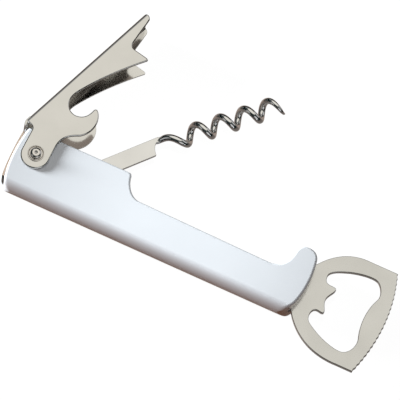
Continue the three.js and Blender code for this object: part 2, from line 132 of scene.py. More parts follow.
VIEW_WIDTH = 147.0
VIEW_LEAN = math.radians(21.5)  # off the front face, towards the spine
VIEW_SWING = math.radians(11.8)
VIEW_ROLL = Vector((0.974, -0.228))  # the handle's axis as it runs in the view
LENS = 600  # mm, long enough to keep the view nearly parallel
AIM = Vector((60.5, -14.0))  # the middle of the view, right of and above the design origin

SMOOTH_LIMIT = math.cos(math.radians(48))
FLAT_WIDTH = 1.2  # a face wider than this keeps its own normal
RIM_LIMIT = math.radians(40)  # sharper outward edges than this are rounded

rivet_low, rivet_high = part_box("lever_rivet")
PIVOT_IN_ROW = (rivet_low + rivet_high) / 2
TO_ROW = Matrix.Translation(PIVOT_IN_ROW) @ Matrix.Scale(0.001, 4) @ Matrix.Translation(
    (-LEVER_PIVOT.x, -LEVER_PIVOT.y, 0)
)

# ------------------------------------------------------------------ outlines


class Outline:
    """A closed outline drawn like a pen: straight runs, curves and arcs."""

    def __init__(self, x, y):
        self.points = [Vector((x, y))]

    def line(self, x, y):
        self.points.append(Vector((x, y)))

    def quad(self, ax, ay, x, y, steps=8):
        start, bend, end = self.points[-1], Vector((ax, ay)), Vector((x, y))
        for step in range(1, steps + 1):
            t = step / steps
            self.points.append((1 - t) ** 2 * start + 2 * t * (1 - t) * bend + t * t * end)

    def cubic(self, ax, ay, bx, by, x, y, steps=16):
        start, end = self.points[-1], Vector((x, y))
        self.points += cubic_points(start, Vector((ax, ay)), Vector((bx, by)), end, steps)[1:]

    def arc(self, cx, cy, radius, start, end, steps=24):
        for step in range(steps + 1):
            angle = math.radians(start + (end - start) * step / steps)
            self.line(cx + radius * math.cos(angle), cy + radius * math.sin(angle))

    def loop(self):
        """The points once round, anticlockwise, with none repeated."""
        kept = []
        for point in self.points:
            if not kept or (point - kept[-1]).length > 0.01:
                kept.append(point)
        if (kept[0] - kept[-1]).length < 0.01:
            kept.pop()
        return turned(kept, anticlockwise=True)


def cubic_points(start, first, second, end, steps):
    points = []
    for step in range(steps + 1):
        t = step / steps
        u = 1 - t
        points.append(u**3 * start + 3 * u * u * t * first + 3 * u * t * t * second + t**3 * end)
    return points


def turned(points, anticlockwise):
    """The loop in the direction asked for."""
    area = sum(a.x * b.y - b.x * a.y for a, b in zip(points, points[1:] + points[:1]))
    return points if (area > 0) == anticlockwise else points[::-1]


def circle(x, y, radius, steps=32):
    turns = [2 * math.pi * step / steps for step in range(steps)]
    return [Vector((x + radius * math.cos(t), y + radius * math.sin(t))) for t in turns]


def inset(points, distance):
    """The loop moved to the left of its direction, corners mitred."""
    moved = []
    for before, here, after in zip(points[-1:] + points[:-1], points, points[1:] + points[:1]):
        into = (here - before).normalized()
        out = (after - here).normalized()
        side = Vector((-into.y - out.y, into.x + out.x)).normalized()
        stretch = max(0.35, side.dot(Vector((-into.y, into.x))))
        moved.append(here + side * distance / stretch)
    return moved


def smoothstep(value, low, high):
    t = min(1.0, max(0.0, (value - low) / (high - low)))
    return t * t * (3 - 2 * t)


# ------------------------------------------------------------------ solids


def rounded_slab(loops, low, high, radius=0.0, steps=3):
    """A slab with rounded rims: loops[0] is its outline, and the others are holes in it."""
    loops = [turned(loop, index == 0) for index, loop in enumerate(loops)]
    turns = [math.pi / 2 * step / steps for step in range(steps + 1)] if radius else [0.0]
    profile = [(radius * (1 - math.cos(t)), high - radius * (1 - math.sin(t))) for t in turns]
    profile = [(d, low + high - z) for d, z in reversed(profile)] + profile
    bm = bmesh.new()
    caps = {0: [], len(profile) - 1: []}
    for loop in loops:
        rings = [
            [bm.verts.new((p.x, p.y, z)) for p in inset(loop, d)] for d, z in profile
        ]
        for lower, upper in zip(rings, rings[1:]):
            bridge(bm, lower, upper)
        for index, verts in caps.items():
            verts.append(rings[index])
    for rings in caps.values():
        flat = [vert for ring in rings for vert in ring]
        for corners in tessellate_polygon([[vert.co for vert in ring] for ring in rings]):
            bm.faces.new([flat[corner] for corner in corners])
    bmesh.ops.recalc_face_normals(bm, faces=bm.faces)
    return bm


def bridge(bm, lower, upper):
    """Quads between two rings of the same length."""
    for index in range(len(lower)):
        after = (index + 1) % len(lower)
        bm.faces.new((lower[index], lower[after], upper[after], upper[index]))


def swept(loop, origin, along_x, along_y, length):
    """A loop drawn in the plane of two directions, drawn out along the third."""
    bm = rounded_slab([loop], 0, length)
    out = along_x.cross(along_y)
    place = Matrix((along_x, along_y, out)).transposed().to_4x4()
    bmesh.ops.transform(bm, matrix=Matrix.Translation(origin) @ place, verts=bm.verts)
    bmesh.ops.recalc_face_normals(bm, faces=bm.faces)
    return bm


def turned_solid(profile, steps=64):
    """A closed profile of (radius, z) turned about Z. A radius of 0 is a pole."""
    bm = bmesh.new()
    rings = []
    for radius, z in profile:
        if radius == 0:
            rings.append([bm.verts.new((0, 0, z))])
        else:
            rings.append([bm.verts.new((p.x, p.y, z)) for p in circle(0, 0, radius, steps)])
    for lower, upper in zip(rings, rings[1:]):
        if len(lower) == len(upper):
            bridge(bm, lower, upper)
        else:
            pole, ring = (lower[0], upper) if len(lower) == 1 else (upper[0], lower)
            for index in range(steps):
                bm.faces.new((pole, ring[index], ring[(index + 1) % steps]))
    bmesh.ops.recalc_face_normals(bm, faces=bm.faces)
    return bm


def combined(first, second, operation):
    """The UNION, INTERSECT or DIFFERENCE of two closed solids."""
    objects = []
    for bm in (first, second):
        mesh = bpy.data.meshes.new("working")
        bm.to_mesh(mesh)
        bm.free()
        obj = bpy.data.objects.new("working", mesh)
        bpy.context.scene.collection.objects.link(obj)
        objects.append(obj)
    modifier = objects[0].modifiers.new("combine", "BOOLEAN")
    modifier.operation = operation
    modifier.solver = "EXACT"
    modifier.object = objects[1]
    depsgraph = bpy.context.evaluated_depsgraph_get()
    mesh = bpy.data.meshes.new_from_object(objects[0].evaluated_get(depsgraph))
    result = bmesh.new()
    result.from_mesh(mesh)
    for obj in objects:
        bpy.data.meshes.remove(obj.data)
    bpy.data.meshes.remove(mesh)
    return result


def round_rims(bm, radius, segments=3):
    """Rounds every outward edge sharper than the limit."""
    bmesh.ops.remove_doubles(bm, verts=bm.verts, dist=1e-4)
    bmesh.ops.dissolve_limit(
        bm, angle_limit=math.radians(0.1), verts=bm.verts, edges=bm.edges, delimit=set()
    )
    rims = [
        edge
        for edge in bm.edges
        if len(edge.link_faces) == 2 and edge.calc_face_angle_signed(0) > RIM_LIMIT
    ]
    bmesh.ops.bevel(
        bm, geom=rims, offset=radius, segments=segments, profile=0.5, affect="EDGES",
        clamp_overlap=False,
    )


def joined(bms):
    """Several solids as the parts of one piece."""
    whole = bmesh.new()
    for bm in bms:
        mesh = bpy.data.meshes.new("working")
        bm.to_mesh(mesh)
        bm.free()
        whole.from_mesh(mesh)
        bpy.data.meshes.remove(mesh)
    return whole


def mirrored_back(bm):
    """The solid turned over from the front of the object to the rear."""
    bmesh.ops.transform(bm, matrix=Matrix.Scale(-1, 4, (0, 0, 1)), verts=bm.verts)
    bmesh.ops.reverse_faces(bm, faces=bm.faces)


def corner_normals(bm):
    """A normal for each face corner: smooth over shallow edges, true on large flat faces."""
    areas = {face: face.calc_area() for face in bm.faces}
    flats = {
        face for face in bm.faces
        if areas[face] > FLAT_WIDTH * max(edge.calc_length() for edge in face.edges)
    }
    normals = []
    for face in bm.faces:
        for loop in face.loops:
            near = [f for f in loop.vert.link_faces if f.normal.dot(face.normal) > SMOOTH_LIMIT]
            flat = [f for f in near if f in flats]
            chosen = flat or near
            total = sum((f.normal * areas[f] for f in chosen), Vector())
            normals.append(total.normalized() if total.length > 1e-9 else face.normal.copy())
    return normals


def piece(name, bm, material, body, nodes, flipped=False):
    """Turns a solid in the design frame into a finished piece that stands for CAD nodes."""
    if flipped:
        mirrored_back(bm)
    bmesh.ops.dissolve_limit(
        bm, angle_limit=math.radians(0.05), verts=bm.verts, edges=bm.edges, delimit=set()
    )
    bm.normal_update()
    normals = corner_normals(bm)
    mesh = bpy.data.meshes.new(name)
    bm.to_mesh(mesh)
    bm.free()
    mesh.transform(TO_ROW)
    mesh.shade_smooth()
    mesh.normals_split_custom_set(normals)
    mesh.materials.append(material)
    obj = bpy.data.objects.new(name, mesh)
    bpy.context.scene.collection.objects.link(obj)
    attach(obj, body)
    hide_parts(*nodes)


# ------------------------------------------------------------------ materials


def set_stops(color_ramp, stops):
    """Positions and colours along a ramp, from low to high."""
    elements = color_ramp.elements
    while len(elements) < len(stops):
        elements.new(1.0)
    for element, (position, colour) in reversed(list(zip(elements, stops))):
        element.position = position
        element.color = (*colour, 1)


class Nodes:
    """A material's node tree, built by name."""

    def __init__(self, name):
        self.material = bpy.data.materials.new(name)
        self.material.use_nodes = True
        self.tree = self.material.node_tree
        self.shader = self.tree.nodes["Principled BSDF"]
        self.place = self.add("ShaderNodeTexCoord").outputs["Object"]

    def add(self, kind, **values):
        node = self.tree.nodes.new(kind)
        for name, value in values.items():
            setattr(node, name, value)
        return node

    def link(self, output, node, socket):
        self.tree.links.new(output, node.inputs[socket])

    def set(self, **values):
        for name, value in values.items():
            self.shader.inputs[name.replace("_", " ")].default_value = value

    def scaled(self, scale, rotation=(0, 0, 0)):
        mapping = self.add("ShaderNodeMapping")
        mapping.inputs["Scale"].default_value = scale
        mapping.inputs["Rotation"].default_value = rotation
        self.link(self.place, mapping, "Vector")
        return mapping.outputs["Vector"]

    def noise(self, scale, detail=2.0, stretch=(1, 1, 1), rotation=(0, 0, 0)):
        node = self.add("ShaderNodeTexNoise")
        node.inputs["Scale"].default_value = scale
        node.inputs["Detail"].default_value = detail
        self.link(self.scaled(stretch, rotation), node, "Vector")
        return node.outputs["Fac"]

    def ramp(self, value, *stops):
        node = self.add("ShaderNodeValToRGB")
        set_stops(node.color_ramp, stops)
        self.link(value, node, "Fac")
        return node.outputs["Color"]

    def between(self, axis, low, high):
        """Climbs from 0 to 1 between two places along an axis of the row frame."""
        split = self.add("ShaderNodeSeparateXYZ")
        self.link(self.place, split, "Vector")
        node = self.add("ShaderNodeMapRange")
        node.inputs["From Min"].default_value = low
        node.inputs["From Max"].default_value = high
        self.link(split.outputs[axis], node, "Value")
        return node.outputs["Result"]

    def spread(self, value, low, high):
        """The middle of a noise's values, 0.3 to 0.7, brought to a range."""
        node = self.add("ShaderNodeMapRange")
        sockets = ("From Min", "From Max", "To Min", "To Max")
        for socket, number in zip(sockets, (0.3, 0.7, low, high)):
            node.inputs[socket].default_value = number
        self.link(value, node, "Value")
        return node.outputs["Result"]

    def bump(self, height, strength, distance):
        node = self.add("ShaderNodeBump")
        node.inputs["Strength"].default_value = strength
        node.inputs["Distance"].default_value = distance
        self.link(height, node, "Height")
        self.link(node.outputs["Normal"], self.shader, "Normal")


def plastic():
    """Glossy white plastic, faintly uneven in tone and gloss."""
    nodes = Nodes("white_plastic")
    tone = nodes.noise(60, 3)
    nodes.link(
        nodes.ramp(tone, (0.3, (0.785, 0.81, 0.83)), (0.7, (0.815, 0.84, 0.86))),
        nodes.shader, "Base Color",
    )
    nodes.link(nodes.spread(nodes.noise(240, 4), 0.16, 0.26), nodes.shader, "Roughness")
    nodes.bump(nodes.noise(900, 2), 0.03, 0.0001)
    nodes.set(IOR=1.5, Coat_Weight=0.25, Coat_Roughness=0.06)
    return nodes.material


def steel(name, dark, light, rough, grain=0.0, grain_turn=0.0):
    """Plated steel: a faint unevenness of tone and gloss, and fine grain along one direction."""
    nodes = Nodes(name)
    nodes.link(
        nodes.ramp(nodes.noise(90, 3), (0.3, dark), (0.7, light)), nodes.shader, "Base Color"
    )
    low, high = rough
    nodes.link(nodes.spread(nodes.noise(320, 4), low, high), nodes.shader, "Roughness")
    if grain:
        fine = nodes.noise(1800, 2, stretch=(0.06, 1, 1), rotation=(0, 0, grain_turn))
        nodes.bump(fine, grain, 0.00005)
    nodes.set(Metallic=1.0)
    return nodes.material


def spring_strip():
    """Bright strip, painted black at its lower end for the shade where it is bent in under the
    handle.
    """
    nodes = Nodes("spring_strip")
    low, high = ((TO_ROW @ Vector((0, y, 0))).y for y in SHADE_PAINTED_Y)
    tone = nodes.ramp(nodes.noise(90, 3), (0.3, (0.62, 0.50, 0.42)), (0.7, (0.68, 0.56, 0.48)))
    # Painted shade: the strip's end under the handle is painted black, standing in for the shade
    # in the gap there.
    height = nodes.between("Y", low, high)
    painted_shade = nodes.ramp(height, (0.55, (0.02, 0.022, 0.022)), (0.62, (1, 1, 1)))
    mix = nodes.add("ShaderNodeMix", data_type="RGBA", blend_type="MULTIPLY")
    mix.inputs["Factor"].default_value = 1.0
    nodes.link(tone, mix, "A")
    nodes.link(painted_shade, mix, "B")
    nodes.link(mix.outputs["Result"], nodes.shader, "Base Color")
    nodes.link(nodes.spread(nodes.noise(320, 4), 0.28, 0.36), nodes.shader, "Roughness")
    nodes.set(Metallic=1.0)
    return nodes.material


white = plastic()
lever_metal = steel(
    "plated_sheet", (0.67, 0.665, 0.65), (0.71, 0.705, 0.69), (0.09, 0.12), 0.015, -LEVER_REST
)
plate_metal = steel("plated_plate", (0.61, 0.61, 0.60), (0.66, 0.66, 0.65), (0.15, 0.2), 0.04)
worm_metal = steel("bright_wire", (0.72, 0.72, 0.72), (0.78, 0.78, 0.78), (0.06, 0.10))
rivet_metal = steel("bright_rivet", (0.70, 0.68, 0.66), (0.76, 0.74, 0.72), (0.07, 0.12))
strap_metal = spring_strip()
inner_metal = steel("plain_steel", (0.34, 0.34, 0.33), (0.42, 0.42, 0.41), (0.35, 0.5))

# ------------------------------------------------------------------ handle


def handle_loop():
    outline = Outline(-6.2, BLOCK_TOP_Y)
    outline.line(33.3, BLOCK_TOP_Y)
    outline.quad(34.6, BLOCK_TOP_Y, 34.8, 7.8)
    outline.cubic(35.3, 5.0, 37.6, 0.6, 41.5, WAIST_TOP_Y)
    outline.line(93.5, -0.2)
    outline.cubic(97.6, -0.2, 100.4, 1.9, 101.0, 6.8)
    outline.cubic(101.2, 9.6, 102.4, 11.25, 105.0, 11.3, 10)
    outline.cubic(107.6, 11.3, 109.5, 9.9, 109.8, 7.0, 10)
    outline.cubic(110.9, 0.2, 110.4, -5.8, 108.9, -10.5, 20)
    outline.quad(107.4, SPINE_Y, 103.6, SPINE_Y, 12)
    outline.line(-3.4, SPINE_Y)
    outline.quad(-7.0, SPINE_Y, -7.5, -11.2, 14)
    outline.cubic(-8.6, -6.0, -8.6, 1.0, -7.4, 8.0, 20)
    outline.quad(-7.2, BLOCK_TOP_Y, -6.2, BLOCK_TOP_Y)
    return outline.loop()


def spine_height(y):
    """Half of the handle's thickness: flat faces, and half an ellipse along the spine."""
    below = max(0.0, (SPINE_Y + SPINE_DEPTH - y) / SPINE_DEPTH)
    return HANDLE_HALF * math.sqrt(max(0.0, 1 - below**2))


def half_block():
    """The front half of the handle as a closed solid on z = 0, without its hollows."""
    outline = handle_loop()
    bm = bmesh.new()
    steps = 6
    rings = [[bm.verts.new((p.x, p.y, 0)) for p in outline]]
    for step in range(steps + 1):
        turn = math.pi / 2 * step / steps
        drop = EDGE_ROUND * (1 - math.sin(turn)) / HANDLE_HALF
        ring = inset(outline, EDGE_ROUND * (1 - math.cos(turn)))
        rings.append([bm.verts.new((p.x, p.y, spine_height(p.y) * (1 - drop))) for p in ring])
    for lower, upper in zip(rings, rings[1:]):
        bridge(bm, lower, upper)
    bm.faces.new(rings[0][::-1])
    bm.faces.new(rings[-1])
    for degrees in range(0, 88, 5):
        level = SPINE_Y + SPINE_DEPTH * (1 - math.sin(math.radians(degrees)))
        bmesh.ops.bisect_plane(
            bm, geom=bm.verts[:] + bm.edges[:] + bm.faces[:], dist=1e-5,
            plane_co=(0, level, 0), plane_no=(0, 1, 0),
        )
    bmesh.ops.remove_doubles(bm, verts=bm.verts, dist=1e-3)
    bmesh.ops.dissolve_degenerate(bm, edges=bm.edges, dist=1e-4)
    bmesh.ops.recalc_face_normals(bm, faces=bm.faces)
    return bm


def along_handle(section, low_x, high_x):
    """A section drawn with its X across the handle, swept along the handle's X."""
    origin = Vector((low_x, 0, 0))
    return swept(section, origin, Vector((0, 0, -1)), Vector((0, 1, 0)), high_x - low_x)


def channel_section():
    half = [
        (CHANNEL_HALF, 20), (CHANNEL_HALF, -8.8), (4.1, -10.6),
        (STRAP_HALF + STRAP_GAP, CHANNEL_FLOOR_Y),
    ]
    points = [Vector((-x, y)) for x, y in half] + [Vector((x, y)) for x, y in reversed(half)]
    return turned(points, anticlockwise=True)


def rectangle(low_x, high_x, low_y, high_y):
    corners = ((low_x, low_y), (high_x, low_y), (high_x, high_y), (low_x, high_y))
    return [Vector(corner) for corner in corners]


def bore(x, y, radius, half_length):
    return rounded_slab([circle(x, y, radius)], -half_length, half_length)


def shell_half():
    """The front half of the handle with its channel, slots and bores cut."""
    shell = half_block()
    shell = combined(
        shell, along_handle(channel_section(), END_WALL_X, CHANNEL_END_X), "DIFFERENCE"
    )
    strap_half = STRAP_HALF + STRAP_GAP
    strap_top = CHANNEL_FLOOR_Y + 2.4 * STRAP_THICK
    strap_slot = rectangle(-THROUGH, END_WALL_X + 1, CHANNEL_FLOOR_Y, strap_top)
    plate_slot = rectangle(103.4, 130, -12.9, 8.9)
    hollows = [
        rounded_slab([strap_slot], -strap_half, strap_half),
        rounded_slab([plate_slot], -PLATE_HALF - PLATE_GAP, PLATE_HALF + PLATE_GAP),
        bore(*LEVER_PIVOT, RIVET_BORE_R, THROUGH),
        bore(*WORM_PIVOT, WORM_BORE_R, DEEP_BORE),
    ]
    hollows += [bore(x, y, STRAP_PIN_R, DEEP_BORE) for x, y in STRAP_PINS]
    hollows += [bore(x, y, OPENER_PIN_R, OPENER_BORE) for x, y in OPENER_PINS]
    for hollow in hollows:
        shell = combined(shell, hollow, "DIFFERENCE")
    round_rims(shell, SHELL_RIM, segments=2)
    return shell


piece("handle_front", shell_half(), white, "handle", ["front_shell"])
piece("handle_rear", shell_half(), white, "handle", ["rear_shell"], flipped=True)


def strap_loop():
    """The strip up the outside of the left end, then under it and along the channel."""
    low = CHANNEL_FLOOR_Y + STRAP_GAP + STRAP_THICK / 2
    corner = Vector((-8.35, -10.4))
    centre = cubic_points(
        Vector((-8.45, 8.2)), Vector((-8.9, 3.5)), Vector((-8.95, -5.5)), corner, 18
    )
    bend, end = Vector((-8.0, low)), Vector((-6.2, low))
    for step in range(1, 11):
        t = step / 10
        centre.append((1 - t) ** 2 * corner + 2 * t * (1 - t) * bend + t * t * end)
    centre.append(Vector((STRAP_END_X, low)))
    left, right = [], []
    for index, point in enumerate(centre):
        before, after = centre[max(0, index - 1)], centre[min(len(centre) - 1, index + 1)]
        way = (after - before).normalized()
        side = Vector((-way.y, way.x)) * STRAP_THICK / 2
        left.append(point + side)
        right.append(point - side)
    return turned(right + left[::-1], anticlockwise=True)


strap = rounded_slab([strap_loop()], -STRAP_HALF, STRAP_HALF, STRAP_ROUND)
piece("back_strip", strap, strap_metal, "handle", ["back_strap"])

# ------------------------------------------------------------------ opener plate


def opener_loop():
    outline = Outline(103.7, 5.0)
    outline.quad(103.7, 8.3, 107.2, 8.3)
    outline.line(109.8, 8.3)
    outline.cubic(113.0, 13.0, 118.4, 17.7, 126.0, 17.85, 20)
    outline.line(138.15, 17.85)
    edge = cubic_points(
        Vector((138.35, 17.85)), Vector((142.9, 5.2)),
        Vector((143.1, -9.8)), Vector((138.2, -24.3)), 4 * SERRATIONS,
    )
    for index, point in enumerate(edge):
        depth = SERRATION_DEPTH * (0.5 - 0.5 * math.cos(2 * math.pi * index / 4))
        outline.line(point.x - depth, point.y)
    outline.line(132.0, -24.3)
    outline.cubic(120.7, -24.8, 112.9, -19.6, 108.1, -11.9, 24)
    outline.line(105.2, -12.5)
    outline.quad(103.7, -12.5, 103.7, -11.0)
    return outline.loop()


def crown_cap_hole():
    hole = Outline(115.3, 6.2)
    hole.cubic(115.7, 8.2, 118.7, 9.4, 122.1, 10.7)
    hole.cubic(126.6, 12.2, 131.2, 12.7, 132.9, 11.8)
    hole.cubic(134.5, 10.8, 136.4, 7.8, 135.5, 5.2)
    hole.cubic(133.3, 0.2, 133.3, -6.2, 134.9, -11.0)
    hole.cubic(136.2, -14.6, 134.2, -18.4, 131.5, -19.0)
    hole.cubic(128.3, -19.4, 121.6, -17.3, 116.5, -13.7)
    hole.cubic(115.0, -12.6, 114.7, -9.6, 116.1, -8.3, 10)
    hole.cubic(117.3, -7.5, 118.7, -8.7, 119.6, -8.0, 10)
    hole.cubic(120.3, -7.0, 118.3, -5.4, 118.3, -3.0, 10)
    hole.cubic(118.3, -0.8, 120.5, 1.0, 120.2, 2.3, 10)
    hole.cubic(119.8, 3.4, 117.3, 2.5, 116.1, 3.4, 10)
    hole.quad(115.1, 4.4, 115.3, 6.2)
    return hole.loop()


opener = rounded_slab(
    [opener_loop(), crown_cap_hole()] + [circle(x, y, OPENER_PIN_R) for x, y in OPENER_PINS],
    -PLATE_HALF, PLATE_HALF, PLATE_ROUND, 4,
)
piece("opener", opener, plate_metal, "handle", ["opener_plate"])

# ------------------------------------------------------------------ lever


def lever_loop():
    outline = Outline(*LEVER_HEEL)
    outline.line(12.33, 67.96)
    outline.cubic(12.9, 69.2, 14.9, 69.2, 15.4, 67.3, 12)
    outline.cubic(15.1, 64.5, 14.3, 60.5, 13.7, 56.2, 12)
    outline.quad(13.5, 54.3, 15.5, 53.9, 10)
    outline.line(20.3, 52.9)
    outline.quad(22.1, 52.4, 21.0, 51.5, 10)
    outline.cubic(14.4, 44.8, 8.0, 37.0, 3.4, 29.4, 28)
    outline.cubic(0.4, 24.4, 3.2, 20.7, 6.5, 20.6, 20)
    outline.cubic(9.4, 20.7, 10.9, 22.6, 11.6, 25.4, 12)
    outline.quad(12.3, 26.7, 13.4, 25.4, 10)
    outline.cubic(16.0, 22.0, 15.0, 16.4, 11.2, 13.8, 20)
    outline.cubic(7.2, 12.0, 5.0, 10.2, 5.0, 5.2, 16)
    outline.line(4.95, 0)
    outline.arc(-0.5, 0, 5.45, 0, -180, 36)
    outline.line(-5.7, 8.0)
    outline.quad(-5.5, 9.5, -6.9, 10.1, 10)
    return outline.loop()


def u_section(depth, half, bend, steps):
    """The lever's section: X is the distance in from the web, Y is across."""
    rise = (depth - bend * (1 - math.sin(LEVER_LEAD))) * math.tan(LEVER_LEAD)
    section = Outline(depth, -half - rise)
    section.line(depth, half + rise)
    section.arc(bend, half - bend, bend, 84, 180, steps)
    section.arc(bend, bend - half, bend, 180, 276, steps)
    return section.loop()


def heel_tab_loop():
    tab = Outline(LEVER_HEEL.x + 0.69, LEVER_HEEL.y + 1.8)
    tab.line(*LEVER_HEEL)
    tab.quad(-9.45, 10.1, -9.0, 9.0, 8)
    tab.line(-8.2, 9.3)
    tab.quad(-8.55, 10.1, -8.22, 10.9, 8)
    tab.line(-7.55, 12.6)
    return tab.loop()


def lever_sheet():
    """The lever's outline cut from a folded section, with its curled heel and its bore."""
    along = Vector((math.cos(LEVER_REST), math.sin(LEVER_REST), 0))
    inward = Vector((along.y, -along.x, 0))
    across = Vector((0, 0, 1))
    beyond_tip = Vector((*LEVER_HEEL, 0)) + along * 110
    outside = u_section(60, LEVER_HALF, LEVER_BEND, 8)
    inner_half, inner_bend = LEVER_HALF - LEVER_SHEET, LEVER_BEND - LEVER_SHEET
    inside = Outline(80, -inner_half)
    inside.line(80, inner_half)
    inside.arc(LEVER_BEND, inner_half - inner_bend, inner_bend, 90, 180, 5)
    inside.arc(LEVER_BEND, inner_bend - inner_half, inner_bend, 180, 270, 5)
    sheet = rounded_slab([lever_loop()], -LEVER_HALF, LEVER_HALF, SHEET_ROUND, 4)
    sheet = combined(sheet, swept(outside, beyond_tip, inward, across, 150), "INTERSECT")
    sheet = combined(sheet, swept(inside.loop(), beyond_tip, inward, across, 150), "DIFFERENCE")
    sheet = combined(sheet, rounded_slab([heel_tab_loop()], -HEEL_HALF, HEEL_HALF), "UNION")
    sheet = combined(sheet, bore(*LEVER_PIVOT, LEVER_BORE_R, THROUGH), "DIFFERENCE")
    round_rims(sheet, SHEET_BREAK)
    return sheet


piece("lever_channel", lever_sheet(), lever_metal, "lever", ["lever"])

WASHER_SEAT = LEVER_HALF + FACE_GAP
HEAD_SEAT = WASHER_SEAT + WASHER_THICK + FACE_GAP


def at_lever_pivot(bm, flipped=False):
    if flipped:
        mirrored_back(bm)
    bmesh.ops.translate(bm, vec=(*LEVER_PIVOT, 0), verts=bm.verts)
    return bm


def rivet():
    """A shank with a round head at each end, dimpled in the middle."""
    head = [(RIVET_R, HEAD_SEAT), (2.02, HEAD_SEAT), (2.1, HEAD_SEAT + 0.1)]
    for step in range(1, 11):
        turn = math.radians(78) * step / 10
        head.append((0.62 + 1.48 * math.cos(turn), HEAD_SEAT + 0.1 + 0.87 * math.sin(turn)))
    head += [(0.72, HEAD_SEAT + 0.95), (0.55, HEAD_SEAT + 0.88), (0.3, HEAD_SEAT + 0.68)]
    head.append((0, HEAD_SEAT + 0.62))
    tail = [(radius, -z) for radius, z in reversed(head)]
    return at_lever_pivot(turned_solid(tail + head))


def washer(flipped):
    """A dished washer: a thin raised rim that slopes down towards the rivet."""
    section = [(RIVET_BORE_R, 0), (WASHER_R, 0), (WASHER_R, WASHER_THICK - WASHER_RIM)]
    for degrees in range(30, 91, 20):
        turn = math.radians(degrees)
        out = WASHER_R - WASHER_RIM * (1 - math.cos(turn))
        section.append((out, WASHER_THICK - WASHER_RIM * (1 - math.sin(turn))))
    for step in range(9):
        across = step / 8
        drop = (WASHER_THICK - WASHER_FLOOR) * smoothstep(across, 0, 1)
        section.append((WASHER_R - 0.15 - 0.55 * across, WASHER_THICK - drop))
    section += [(RIVET_BORE_R, WASHER_FLOOR), (RIVET_BORE_R, 0)]
    ring = turned_solid(section)
    bmesh.ops.remove_doubles(ring, verts=ring.verts, dist=1e-4)
    bmesh.ops.translate(ring, vec=(0, 0, WASHER_SEAT), verts=ring.verts)
    return at_lever_pivot(ring, flipped=flipped)


piece("pivot_rivet", rivet(), rivet_metal, "handle", ["lever_rivet"])
for side in ("front", "rear"):
    ring = washer(side == "rear")
    stands_for = [f"lever_washer_{side}"]
    piece(f"pivot_washer_{side}", ring, rivet_metal, "handle", stands_for)

# ------------------------------------------------------------------ worm

shank_way = Vector((math.cos(SHANK_ANGLE), math.sin(SHANK_ANGLE)))
helix_way = Vector((math.cos(HELIX_ANGLE), math.sin(HELIX_ANGLE)))


def on_shank(outward, leverward):
    """A place on the flat shank, from its pivot."""
    return WORM_PIVOT + outward * shank_way + leverward * Vector((-shank_way.y, shank_way.x))


def climbed(s, low, high):
    """What a rate that climbs steadily from 0 to 1 between low and high adds up to by s."""
    if s < low:
        return 0.0
    return (s - low) ** 2 / (2 * (high - low)) if s < high else s - (low + high) / 2


def wire_centre(s):
    """The wire's middle, s along the helix. The turns start gently and close in at the end."""
    start = on_shank(SHANK_LENGTH + 2.6, 0.2)
    run = 0.53 * climbed(s, 0, 2) + 0.47 * climbed(s, 8.5, 12)
    angle = 2 * math.pi * run / HELIX_PITCH
    early = min(1.0, max(0.0, 1 - s / 8))
    late = max(0.0, 1 - (HELIX_LENGTH - s) / 5)
    radius = HELIX_R - 1.6 * early + 0.65 * late
    side = radius * math.cos(angle)
    across = Vector((-helix_way.y, helix_way.x))
    flat = start + s * helix_way + side * across
    return Vector((*flat, radius * math.sin(angle)))


def wire_radius(s):
    """The wire swells out of the flat shank and narrows to its point."""
    swell = smoothstep(s, WIRE_ROOT, 3.5)
    point = POINT_START * HELIX_LENGTH
    fade = max(0.0, (s - point) / (HELIX_LENGTH - point))
    return (ROOT_R + (WIRE_R - ROOT_R) * swell) * (1 - fade**2) + POINT_R * fade**2


def wire():
    steps, sides = 460, 20
    stations = [WIRE_ROOT + (HELIX_LENGTH - WIRE_ROOT) * step / steps for step in range(steps + 1)]
    centres = [wire_centre(s) for s in stations]
    bm = bmesh.new()
    rings = []
    normal = Vector((0, 0, 1))
    for index, (s, centre) in enumerate(zip(stations, centres)):
        way = centres[min(steps, index + 1)] - centres[max(0, index - 1)]
        way.normalize()
        normal = (normal - way * normal.dot(way)).normalized()
        other = way.cross(normal)
        turns = [2 * math.pi * side / sides for side in range(sides)]
        radius = wire_radius(s)
        rings.append([
            bm.verts.new(centre + radius * (math.cos(t) * normal + math.sin(t) * other))
            for t in turns
        ])
    for lower, upper in zip(rings, rings[1:]):
        bridge(bm, lower, upper)
    for last, before in ((0, 1), (-1, -2)):
        ring = rings[last]
        way = (centres[last] - centres[before]).normalized()
        tip = bm.verts.new(centres[last] + way * wire_radius(stations[last]) * 0.8)
        for number in range(sides):
            bm.faces.new((ring[number], ring[(number + 1) % sides], tip))
    bmesh.ops.recalc_face_normals(bm, faces=bm.faces)
    return bm


def shank_loop():
    outline = Outline(*on_shank(0, -SHANK_HALF_WIDTH))
    outline.line(*on_shank(SHANK_LENGTH - 0.5, -SHANK_HALF_WIDTH))
    corner = on_shank(SHANK_LENGTH, -SHANK_HALF_WIDTH)
    outline.quad(*corner, *on_shank(SHANK_LENGTH + 0.05, -2.6), 6)
    outline.quad(*on_shank(SHANK_LENGTH + 0.1, -1.2), *on_shank(SHANK_LENGTH + 0.9, 0.1), 8)
    outline.quad(*on_shank(SHANK_LENGTH + 1.7, 1.4), *on_shank(SHANK_LENGTH + 3.2, 1.75), 8)
    outline.line(*on_shank(SHANK_LENGTH + 4.6, 2.0))
    outline.line(*on_shank(SHANK_LENGTH + 4.6, 2.6))
    outline.quad(*on_shank(SHANK_LENGTH + 4.0, 3.1), *on_shank(SHANK_LENGTH + 2.8, 3.2), 6)
    outline.line(*on_shank(0, SHANK_HALF_WIDTH))
    centre, turn = WORM_PIVOT, math.degrees(SHANK_ANGLE)
    outline.arc(centre.x, centre.y, SHANK_HALF_WIDTH, turn + 90, turn + 270, 28)
    return outline.loop()


